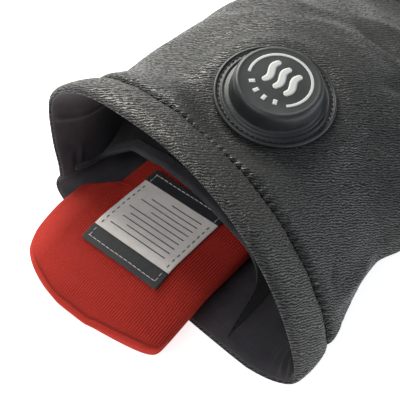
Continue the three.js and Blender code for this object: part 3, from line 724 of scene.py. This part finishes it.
# Creases and soft swells of the leather at chosen places: middle and run in millimetres, a negative
# height is a dent
CREASES = [
    {"at": (116, -17, 52), "run": (-2, -10.5, 0), "long": 13, "wide": 4.5, "high": -2.6},
    {"at": (131, -11, 48), "run": (3, -10, 0), "long": 12, "wide": 6, "high": 1.6},
    {"at": (84, -22, 55), "run": (3, -10, -2), "long": 17, "wide": 9, "high": 1.5},
    {"at": (96, -33, 52), "run": (10, -7, 0), "long": 12, "wide": 4, "high": -2.2},
    {"at": (42, -60, 18), "run": (33, 0.4, -1.7), "long": 17, "wide": 3.4, "high": 2.6},
    {"at": (54, -61, 12.5), "run": (17.6, -4, 0.2), "long": 10, "wide": 2.8, "high": 2.0},
    {"at": (24.4, -55.3, 27), "run": (-2.4, -2.3, -2.9), "long": 5, "wide": 1.3, "high": -0.8},
]


def crease_height(points):
    height = np.zeros(len(points))
    for crease in CREASES:
        run = unit(np.array(crease["run"], float))
        offset = points - crease["at"]
        along = offset @ run
        across = np.linalg.norm(offset - along[:, None] * run, axis=1)
        height += crease["high"] * np.exp(-(along / crease["long"]) ** 2 - (across / crease["wide"]) ** 2)
    return height


def wrinkle_height(points, normals, x):
    """Soft dents, drag lines and creases of worn leather, in millimetres."""
    soft = ripple(points, 26, 1) * 0.5
    drag = ripple(points * (1.0, 0.45, 0.45), 6.5, 2)
    near_wrist = bell(x, 100, 34) * 0.30 + 0.07
    fine = ripple(points * (1.2, 0.6, 0.6), 2.6, 3) * 0.05
    top = np.clip(normals[:, 2], 0, 1)
    height = soft + drag * near_wrist * (0.5 + 0.5 * top) + fine + crease_height(points)
    return height * smooth(points[:, 2], 0.2, 3.0)


def seam_height(turn, x, points):
    """Holes at each stitch and the small gathers between them, in millimetres."""
    phase = seam_phase(turn)
    hole = np.clip(0.5 + 0.5 * np.cos(2 * math.pi * phase), 0, 1) ** 1.5
    uneven = 0.75 + 0.5 * ripple(points, 7, 4)
    pit = -0.75 * hole * bell(x, BAND + 0.5, 1.1)
    gather = -0.13 * hole * uneven * (bell(x, BAND + 2.0, 1.3) + bell(x, BAND - 1.6, 1.4))
    swell = 0.22 * np.sin(phase * 1.1 + 3 * ripple(points, 16, 11)) * bell(x, BAND + 0.5, 3.5)
    return pit + gather + swell


def finger_creases(points):
    """Short creases across the back of each finger at its joints."""
    height = np.zeros(len(points))
    for finger in FINGERS:
        root, ahead, aside, length = finger_frame(finger)
        offset = points - root
        along, across = offset @ ahead / length, offset @ aside
        inside = (np.abs(across) < finger["wide"] * BODY_WIDTH * 0.56) & (along > 0.05) & (points[:, 2] > 10)
        wavy = along + 0.012 * np.sin(across * 0.55 + finger["splay"])
        for joint in (0.32, 0.36, 0.405, 0.62, 0.66, 0.7):
            height -= inside * 0.4 * bell(wavy, joint, 0.012) * smooth(points[:, 2], 13, 20)
    return height


def make_skin(materials):
    obj = make_object("leather_skin", *skin_start(), materials["leather"])
    apply_modifier(obj, "REMESH", mode="VOXEL", voxel_size=1.2 * MM)
    soften(obj, 8, 0.15 + 0.5 * smooth(get_points(obj)[:, 0], 120, 150))
    points = get_points(obj)
    normals = read_vectors(obj.data.vertex_normals, "vector")
    x = station_of(points)
    height = wrinkle_height(points, normals, x) + finger_creases(points)
    height *= smooth(x, 18, 23)
    away = np.linalg.norm(points - SEAT, axis=1)
    height *= smooth(away, FLANGE_R * 0.9, FLANGE_R * 1.3)
    set_points(obj, points + normals * height[:, None])
    obj.data.polygons.foreach_set("use_smooth", [True] * len(obj.data.polygons))
    nodes = ["cuff_leather", "hand_leather", "thumb"] + [f["name"] + "_finger" for f in FINGERS]
    ride(obj, "leather", *nodes)


def loop_of_rings(name, profile, outer, shape, material):
    """Closed tube round the cuff from a profile of places and depths; shape gives its outer points' swell."""
    turn = even_turns(SEAM_SIDES)
    rings = []
    for k, (x, inset) in enumerate(profile):
        points = body_points(x, turn, inset)
        if k < outer:
            swell = shape(turn, x, points) * smooth(points[:, 2], 0.2, 3)
            points = points + outward(points, x) * swell[:, None]
            points[:, 2] = np.maximum(points[:, 2], 0)
        rings.append(points)
    return make_object(name, np.concatenate(rings), ring_faces(len(rings), len(turn), loop=True), material)


# Leather just behind the band's seam: places and depths of its outer side, then of its inner side
GATHER_PROFILE = [
    (17.6, 1.9), (17.85, 1.2), (18.1, 0.75), (18.4, 0.35), (18.8, -0.02), (19.3, -0.35), (19.9, -0.62),
    (20.7, -0.85), (21.6, -1.0), (22.6, -1.08), (23.7, -1.1), (24.8, -1.08), (26, -1.0), (27, -0.75),
    (26.6, 0.2), (23, 0.9), (20, 1.6), (18.4, 2.2),
]


def make_gather(materials):
    def shape(turn, x, points):
        wrinkle = wrinkle_height(points, outward(points, x), x) * smooth(x, 18, 23)
        return wrinkle + seam_height(turn, x, points)

    ride(loop_of_rings("seam_gather", GATHER_PROFILE, 14, shape, materials["leather"]), "leather")


# The turned band
BAND_PROFILE = [
    (18.3, 1.9), (18.2, 1.3), (18.0, 0.8), (17.6, 0.35), (17.1, -0.02), (16.5, -0.38), (15.7, -0.7),
    (14.6, -1.0), (13, -1.22), (11, -1.34), (8.5, -1.34), (6.3, -1.24), (4.4, -1.05), (2.9, -0.82),
    (1.8, -0.52), (0.95, -0.18), (0.4, 0.2), (0.1, 0.6), (0.05, 0.95), (0.3, 1.3), (0.9, 1.55), (2, 1.75),
    (5, 2.15), (9, 2.4), (14, 2.4), (17.6, 2.3),
]


def make_band(materials):
    def shape(turn, x, points):
        swell = ripple(points, 17, 5) * 0.26 + ripple(points * (0.5, 1, 1), 5.5, 6) * 0.09
        edge = 0.16 * ripple(points, 6, 12) * bell(x, 1.5, 2.5)
        return swell * smooth(x, 0.2, 4) + edge + seam_height(turn, x, points)

    obj = loop_of_rings("turned_band", BAND_PROFILE, 17, shape, materials["band"])
    ride(obj, "band_leather", "hem_band")
    first, last = (float(seam_phase(np.radians(a))) for a in (322, 218))
    counts = np.arange(math.ceil(first) - SEAM_COUNT, math.floor(last)) + 0.5
    turn = np.interp(counts % SEAM_COUNT / SEAM_COUNT * SEAM_ALONG[-1], SEAM_ALONG, SEAM_TURN)
    path = body_points(BAND + 0.2, np.radians(np.linspace(-40, 220, 1500)), 0.62)
    middles = body_points(BAND + 0.2, turn, 0.62)
    up = outward(middles, BAND)
    thread = materials["thread"]
    stitch_row("band_stitches", path, thread, "band_leather", STITCH, 1.7, 0.24, middles=middles, up=up)


# Inside the cuff
def make_lining(materials):
    turn = even_turns(640)
    degrees = np.degrees(turn)
    mouth = [0.45, 0.9, 1.5, 2.3, 3.3, 4.5]
    places = np.concatenate([mouth, np.linspace(6, 40, 44), np.linspace(42, LINING_LONG, 24)])
    rings = []
    for x in places:
        inset = np.interp(x, [0.45, 0.9, 2.3, 5, 9, 14], [1.15, 1.75, 2.25, 2.75, 3.3, 3.6])
        points = body_points(x, turn, inset)
        gathers = np.sin(degrees * 0.72 + 2.0 * math.sin(x * 0.06) + 1.6 * ripple(points, 14, 21))
        gathers = 3.0 * np.clip(gathers, -0.3, 1) * bell(degrees, 209, 26) * smooth(x, 0.8, 7)
        sideways = 0.35 + 0.65 * np.abs(np.cos(turn))
        soft = ripple(points * (0.4, 1, 1), 12, 7) * 0.5 * smooth(x, 1, 9) * sideways
        seam = 0.6 * bell(degrees, 25 + 0.05 * x, 1.5) * smooth(x, 1, 4)
        crease = 0.6 * bell(x, 5.5 + 0.25 * (degrees - 4), 1.1) * bell(degrees, 4, 3.5)
        crease += 0.6 * bell(x, 10 + 0.3 * (degrees - 4), 1.2) * bell(degrees, 6, 3.5)
        height = np.maximum(soft + gathers + seam + crease, -0.2)
        depth = (height * smooth(points[:, 2], 3.9, 7))[:, None]
        rings.append(points - outward(points, x, LINING_AXIS) * depth)
    outside = [(LINING_LONG, 2.9), (60, 2.9), (30, 2.9), (14, 2.8), (5, 2.4), (2.3, 1.95), (0.9, 1.5)]
    rings += [body_points(x, turn, inset) for x, inset in outside]
    faces = ring_faces(len(rings), len(turn), loop=True)
    obj = make_object("cuff_lining_cloth", np.concatenate(rings), faces, materials["lining"])
    ride(obj, "lining", "cuff_lining")


def pocket_points(across, from_mouth, lift):
    """Points of the pocket's panel, a distance from its mouth; lift is the height above its underside."""
    across, from_mouth = np.broadcast_arrays(across, np.asarray(from_mouth, float))
    x = column(POCKET, "deep", across) * BAND + from_mouth
    square = column(BODY, "square", x / BODY_LENGTH)
    points = body_points(x, -np.arccos(power(across, 1 / square)), LINING_IN + 2 * CLEAR)
    top = LINING_IN + SLEEVE_THICK + LABEL_THICK + 3 * CLEAR
    closed = smooth(x, SLEEVE_LONG - SLEEVE_OUT + 3, POCKET_END - 2)
    rise = column(POCKET, "rise", across)
    points[..., 2] += np.maximum(top - points[..., 2], 0) * rise * (1 - closed) + lift
    return points


def make_pocket(materials):
    across = np.concatenate([np.linspace(-0.6, -0.4, 40), np.linspace(-0.39, 0.995, 110)])
    length = POCKET_END - column(POCKET, "deep", across) * BAND
    share = np.linspace(0.002, 1, 70) ** 1.3
    lower = pocket_points(across[:, None], length[:, None] * share, 0.2)
    lower[..., 2] += 0.4 + 0.4 * ripple(lower * (0.45, 1, 0.4), 8, 8)
    upper = lower + np.array([0, 0, 0.7])
    panel = make_object("pocket_panel", *sheet(upper, lower), materials["pocket"])
    hem = make_pocket_hem(materials)
    ride(panel, "pocket_fabric", "battery_pocket")


# Section of the pocket's rolled hem: distance from the mouth and height over the panel's underside
HEM_PROFILE = [
    (0.8, -0.2), (-0.1, -0.25), (-0.7, 0.05), (-1.0, 0.65), (-0.95, 1.3), (-0.5, 1.85), (0.2, 2.15),
    (1.2, 2.2), (2.4, 2.05), (3.4, 2.1), (4.1, 2.05), (4.5, 1.8), (4.6, 1.4), (3.0, 1.35), (1.2, 1.35),
    (0.4, 1.0), (0.5, 0.2),
]


def make_pocket_hem(materials):
    across = np.concatenate([np.linspace(-0.6, -0.45, 70), np.linspace(-0.448, 0.998, 330)])
    profile = np.array(HEM_PROFILE)
    full = (0.2 + 0.8 * smooth(across, -0.6, -0.3))[:, None]
    rings = pocket_points(across[:, None], profile[:, 0] * full, profile[:, 1] * full)
    rings[..., 2] += 0.25 + 0.2 * ripple(rings * (0.5, 1, 0.5), 7, 31)
    obj = make_object("pocket_hem_tape", *tube(rings), materials["hem"])
    ride(obj, "hem_tape", "pocket_hem")
    path = pocket_points(across, 3.0, 2.3)
    stitch_row("pocket_hem_stitches", path, materials["thread"], "hem_tape", 2.4, 1.7, 0.17)
    return obj


# Battery sleeve and its label
def sleeve_floor(x):
    share = smooth(-np.asarray(x, float), 0, SLEEVE_OUT * 0.7)
    return (LINING_IN + CLEAR) * (1 - share) + CLEAR * share


def sleeve_row(at):
    at = np.asarray(at, float)
    around = [np.clip(at + shift * np.minimum(at, 0.024), 0, 1) for shift in np.linspace(-1, 1, 9)]
    rows = [row_at(SLEEVE, place) for place in around]
    return {name: np.mean([row[name] for row in rows], axis=0) for name in rows[0]}


def sleeve_sides(row):
    left = SLEEVE_SIDE + row["left"] * SLEEVE_WIDE / 2 + row["flare"] * SLEEVE_FLARE
    return left, SLEEVE_SIDE - row["right"] * SLEEVE_WIDE / 2


def sleeve_bottom(x, thick):
    return sleeve_floor(x) + (SLEEVE_THICK - thick) * SLEEVE_RISE


def sleeve_ring(at, sides):
    """Even points round the sleeve's section and their distance round it from the middle of its top."""
    row = sleeve_row(at)
    x = at * SLEEVE_LONG - SLEEVE_OUT
    edge = SLEEVE_SIDE + SLEEVE_WIDE / 2
    left, right = sleeve_sides(row)
    thick = row["thick"] * SLEEVE_THICK
    turn = math.pi / 2 + np.linspace(0, 2 * math.pi, 2400)
    y = (left + right) / 2 + (left - right) / 2 * power(np.cos(turn), SLEEVE_SQUARE)
    flap = smooth(y, edge - SLEEVE_FLARE / 4, edge + SLEEVE_FLARE)
    rise = thick / 2 * (1 + power(np.sin(turn), SLEEVE_SQUARE)) * (1 - 0.45 * flap)
    z = sleeve_bottom(x, thick) + rise
    along = run_length(np.stack([y, z], -1))
    places = (np.arange(sides) + 0.5) / sides * along[-1]
    ring = np.stack([np.full(sides, x), np.interp(places, along, y), np.interp(places, along, z)], -1)
    facing = np.interp(places, along, np.sin(turn))
    around = (places - centre_of(y, along) + along[-1] / 2) % along[-1] - along[-1] / 2
    return ring, around, facing


def centre_of(y, along):
    """Distance round the section at which its top crosses the sleeve's middle line."""
    top = len(y) // 4
    ahead, behind = y[:top], y[-top:]
    if y[0] > SLEEVE_SIDE:
        return float(np.interp(-SLEEVE_SIDE, -ahead, along[:top]))
    return float(np.interp(-SLEEVE_SIDE, -behind, along[-top:]))


def sleeve_end(y):
    """Place of the sleeve's rounded open end at each side place."""
    places = np.linspace(0, 0.3, 60)
    left, right = sleeve_sides(sleeve_row(places))
    ys = np.concatenate([right[::-1], left])
    return np.interp(y, ys, np.concatenate([places[::-1], places])) * SLEEVE_LONG - SLEEVE_OUT


def sleeve_top(x):
    thick = sleeve_row((x + SLEEVE_OUT) / SLEEVE_LONG)["thick"] * SLEEVE_THICK
    return sleeve_bottom(x, thick) + thick


def make_sleeve(materials):
    sides = 980
    places = np.concatenate([np.linspace(0, 0.12, 34), np.linspace(0.13, 0.56, 34), np.linspace(0.58, 1, 24)])
    sections = [sleeve_ring(float(at), sides) for at in places]
    bare = np.array([section[0] for section in sections])
    for _ in range(8):
        bare[1:20] = (bare[:19] + 2 * bare[1:20] + bare[2:21]) / 4
    rings, groove_shades = [], []
    for at, ring, (_, around, facing) in zip(places, bare, sections):
        x = ring[0, 0]
        rib = np.abs(np.sin(around * math.pi / RIB))
        past_end = x - sleeve_end(ring[:, 1])
        strength = 0.10 + 0.20 * smooth(past_end, 1.5, 2.6)
        hem = 0.5 * bell(past_end, 1.5, 0.5) * smooth(facing, -0.3, 0.2) * (1 - smooth(at, 0.05, 0.11))
        soft = ripple(ring, 15, 9) * 0.35
        out = ring - np.array([x, ring[:, 1].mean(), ring[:, 2].mean()])
        out = unit(out * (0, 0.06, 1))
        height = -(1 - rib ** 0.7) * strength - hem + soft - 0.35
        rings.append(ring + out * (height * smooth(at, -0.002, 0.01))[:, None])
        # Painted shade: how deep each point lies in a groove between ribs or in the hem's dent, for the
        # material to darken.
        groove_shades.append(np.clip((1 - rib) ** 2.2 + hem, 0, 1) * smooth(past_end, 0.8, 1.7))
    points, faces = tube(np.array(rings))
    obj = make_object("ribbed_sleeve", points, faces, materials["sleeve"])
    groove_shade = obj.data.attributes.new("groove_shade", "FLOAT", "POINT")
    groove_shade.data.foreach_set("value", np.concatenate([*groove_shades, [0, 0]]).astype(np.float32))
    ride(obj, "sleeve_fabric", "battery_sleeve")


def label_points(u, v, lift=0.0):
    """u along the label from the sleeve's open end, v across it, both in millimetres."""
    u, v = np.broadcast_arrays(np.asarray(u, float), np.asarray(v, float))
    x = LABEL_FROM_END - SLEEVE_OUT + u
    y = SLEEVE_SIDE + LABEL_SIDE - LABEL_WIDE / 2 + v
    points = np.stack([x, y, sleeve_top(x) + 0.15 + lift], -1)
    points[..., 2] += 0.16 * ripple(points * (1, 1, 0), 9, 10)
    return points


def label_patch(name, u_range, v_range, lift, thick, material, count):
    lower = label_points(np.linspace(*u_range, count[0])[:, None], np.linspace(*v_range, count[1]), lift)
    obj = make_object(name, *sheet(lower + np.array([0, 0, thick]), lower), material)
    return ride(obj, "label_fabric")


def make_label(materials):
    dark = LABEL_LONG * 0.16
    base = label_patch("label_tape", (0, LABEL_LONG), (0, LABEL_WIDE), 0, 0.35, materials["label"], (60, 50))
    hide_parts("sleeve_label")
    wide = (-0.25, LABEL_WIDE + 0.25)
    for name, span in (("near", (-0.25, dark)), ("far", (LABEL_LONG - dark, LABEL_LONG + 0.25))):
        label_patch(f"label_band_{name}", span, wide, 0.36, 0.12, materials["label_dark"], (16, 50))
    start = LABEL_WIDE * 0.14
    for i, long in enumerate((0.74, 0.58, 0.7, 0.66, 0.74, 0.5, 0.7, 0.62, 0.4)):
        u = dark + 3.6 + i * 2.5
        span = (start, start + LABEL_WIDE * long)
        label_patch(f"label_rule_{i}", (u, u + 0.4), span, 0.36, 0.05, materials["label_grey"], (2, 24))
    inset = 1.9
    grey = (materials["label_grey"], "label_fabric", 2.7, 1.5, 0.2)
    for name, v in (("left", LABEL_WIDE - inset), ("right", inset)):
        path = label_points(np.linspace(dark + 1, LABEL_LONG - dark - 1, 60), v, 0.42)
        stitch_row(f"label_stitches_{name}", path, *grey)
    white = (materials["label_white"], "label_fabric", 2.1, 1.9, 0.16)
    for name, u, back in (("near", inset, dark - 0.5), ("far", LABEL_LONG - inset, LABEL_LONG - dark + 0.5)):
        path = label_points(u, np.linspace(inset, LABEL_WIDE - inset, 60), 0.52)
        stitch_row(f"label_stitches_{name}", path, *white)
        for side, v in (("a", inset), ("b", LABEL_WIDE - inset)):
            path = label_points(np.linspace(u, back, 30), v, 0.52)
            stitch_row(f"label_corner_{name}_{side}", path, *white)


# The button
BUTTON_TURN = np.array(Vector((0, 0, 1)).rotation_difference(Vector(NORMAL)).to_matrix())
# Radius and height along the button's outline, from under its flange to the middle of its dome
BUTTON_PROFILE = [
    (18.0, 0.15), (20.6, 0.2), (21.5, 0.5), (21.95, 0.85), (22.0, 1.35), (21.88, 1.7), (21.6, 1.93),
    (21.25, 1.98), (20.98, 1.9), (20.84, 1.65), (20.7, 1.45), (20.3, 1.4), (19.8, 1.42), (19.5, 1.5),
    (19.38, 1.7), (19.22, 1.86), (18.95, 1.9), (18.6, 1.88), (18.4, 1.76), (18.3, 1.52), (18.15, 1.5),
    (18.02, 1.72), (17.8, 1.88), (17.3, 1.98), (16.8, 2.1), (16.5, 2.35), (16.38, 2.9), (16.3, 4.0),
    (16.18, 5.4), (16.0, 6.8), (15.85, 7.6), (15.62, 8.25), (15.3, 8.75), (14.95, 9.05), (14.55, 9.22),
    (14.15, 9.24), (13.8, 9.16), (13.3, 9.1), (9.0, 9.1), (4.0, 9.1),
]
MARK_PLANE = 9.12


def on_button(points):
    return points @ BUTTON_TURN.T + SEAT


def circle(turn, radius, height):
    return on_button(np.stack([radius * np.cos(turn), radius * np.sin(turn), np.full(len(turn), height)], -1))


def make_button(materials):
    turn = np.arange(160) * 2 * math.pi / 160
    points, faces = tube(np.array([circle(turn, radius, height) for radius, height in BUTTON_PROFILE]))
    obj = make_object("silicone_button", points, faces, materials["silicone"])
    ride(obj, "silicone", "controller_button")
    path = circle(np.linspace(0, 2 * math.pi, 240), 20.2, 1.55)
    stitch_row("button_stitches", path, materials["thread"], "silicone", 2.1, 1.6, 0.19, 0.12, up=NORMAL)


def ribbon(path, widths, name, materials):
    """Flat mark on the dome's top along a path in the button's plane, with a width at each point."""
    ahead = unit(np.gradient(path, axis=0))
    aside = np.stack([-ahead[:, 1], ahead[:, 0]], -1)
    rows = []
    for lift in (MARK_PLANE + 0.08, MARK_PLANE - 0.05):
        edge = [path + aside * (widths / 2 * k)[:, None] for k in (1, 0.5, 0, -0.5, -1)]
        rows.append(np.stack([np.concatenate([e, np.full((len(e), 1), lift)], 1) for e in edge], 1))
    obj = make_object(name, *sheet(on_button(rows[0]), on_button(rows[1])), materials["mark"])
    ride(obj, "silicone")


def make_marks(materials):
    """Generic marks: an open ring, three even upright waves for heat, and four small level windows."""
    middle = np.array([0.6, 0.0])
    radius = 11.1
    arc = np.radians(np.linspace(-133, 115, 90))
    path = middle + radius * np.stack([np.cos(arc), np.sin(arc)], -1)
    ribbon(path, np.full(90, 1.05), "mark_ring", materials)
    for i, turn in enumerate((136, 159, 182, 206)):
        out = np.array([math.cos(math.radians(turn)), math.sin(math.radians(turn))])
        path = np.linspace(middle + (radius - 2.3) * out, middle + (radius - 0.1) * out, 6)
        ribbon(path, np.full(6, 1.5), f"mark_level_{i + 1}", materials)
    for i, side in enumerate((4.6, 0.0, -4.6)):
        u = np.linspace(-1, 1, 48)
        across = side + 0.85 * np.sin(u * math.pi * 1.05)
        ends = np.sqrt(np.clip(1 - np.clip((np.abs(u) - 0.86) / 0.14, 0, 1) ** 2, 0.05, 1))
        path = middle + np.stack([u * 5.3 + 1.0, across], -1)
        ribbon(path, (2.0 + 0.8 * (1 - u * u)) * ends, f"mark_wave_{i + 1}", materials)


# Stage, light and camera
def make_stage():
    n = Nodes("pale_floor")
    n.finish((0.8, 0.8, 0.8), 0.95, Emission_Color=(1, 1, 1, 1), Emission_Strength=0.8)
    corners = [(-3000, -3000, 0), (3000, -3000, 0), (3000, 3000, 0), (-3000, 3000, 0)]
    make_object("floor", corners, [(0, 1, 2, 3)], n.material)
    world = bpy.data.worlds.new("studio")
    bpy.context.scene.world = world
    world.use_nodes = True
    world.node_tree.nodes["Background"].inputs["Color"].default_value = (0.80, 0.90, 1.0, 1)
    world.node_tree.nodes["Background"].inputs["Strength"].default_value = 0.25


def area_light(name, place, target, size, power_, color=(1, 1, 1)):
    data = bpy.data.lights.new(name, "AREA")
    data.shape = "RECTANGLE"
    data.size, data.size_y = size
    data.energy = power_
    data.color = color
    obj = bpy.data.objects.new(name, data)
    bpy.context.scene.collection.objects.link(obj)
    obj.location = place
    obj.rotation_euler = (Vector(target) - Vector(place)).to_track_quat("-Z", "Y").to_euler()


def make_lights():
    area_light("window", (0.27, 0.62, 0.60), (-0.02, 0.02, 0.03), (0.62, 0.36), 13.5, (1.0, 0.97, 0.89))
    area_light("front_fill", (-0.62, 0.10, 0.50), (-0.10, 0.0, 0.02), (0.5, 0.5), 2.0)
    area_light("right_rim", (0.32, -0.52, 0.26), (0.04, -0.05, 0.02), (0.2, 0.3), 1.1, (0.86, 0.93, 1.0))


def make_camera():
    """The photograph's own viewpoint: place in millimetres, turns in degrees, focal length in pixels."""
    place = np.array([-124.525, -105.947, 223.401])
    azimuth, elevation, roll = (math.radians(a) for a in (-35.792, 47.515, -4.398))
    focal, width = 749.2, 400
    level = math.cos(elevation)
    back = Vector((-level * math.cos(azimuth), level * math.sin(azimuth), math.sin(elevation)))
    right = (-back).cross(Vector((0, 0, 1))).normalized()
    down = (-back).cross(right)
    turned = math.cos(roll) * right + math.sin(roll) * down
    down = -math.sin(roll) * right + math.cos(roll) * down
    camera = bpy.data.objects.new("camera", bpy.data.cameras.new("camera"))
    camera.data.sensor_width = 36
    camera.data.lens = 36 * focal / width
    camera.data.clip_start = 0.01
    matrix = Matrix((turned, -down, back)).transposed().to_4x4()
    matrix.translation = Vector(place * MM + ORIGIN)
    camera.matrix_world = matrix
    bpy.context.scene.collection.objects.link(camera)
    bpy.context.scene.camera = camera
    bpy.context.scene.view_settings.view_transform = "Standard"


make_camera()
make_stage()
make_lights()
materials = make_materials()
for make in (make_skin, make_gather, make_band, make_lining, make_sleeve, make_pocket, make_label):
    make(materials)
make_button(materials)
make_marks(materials)
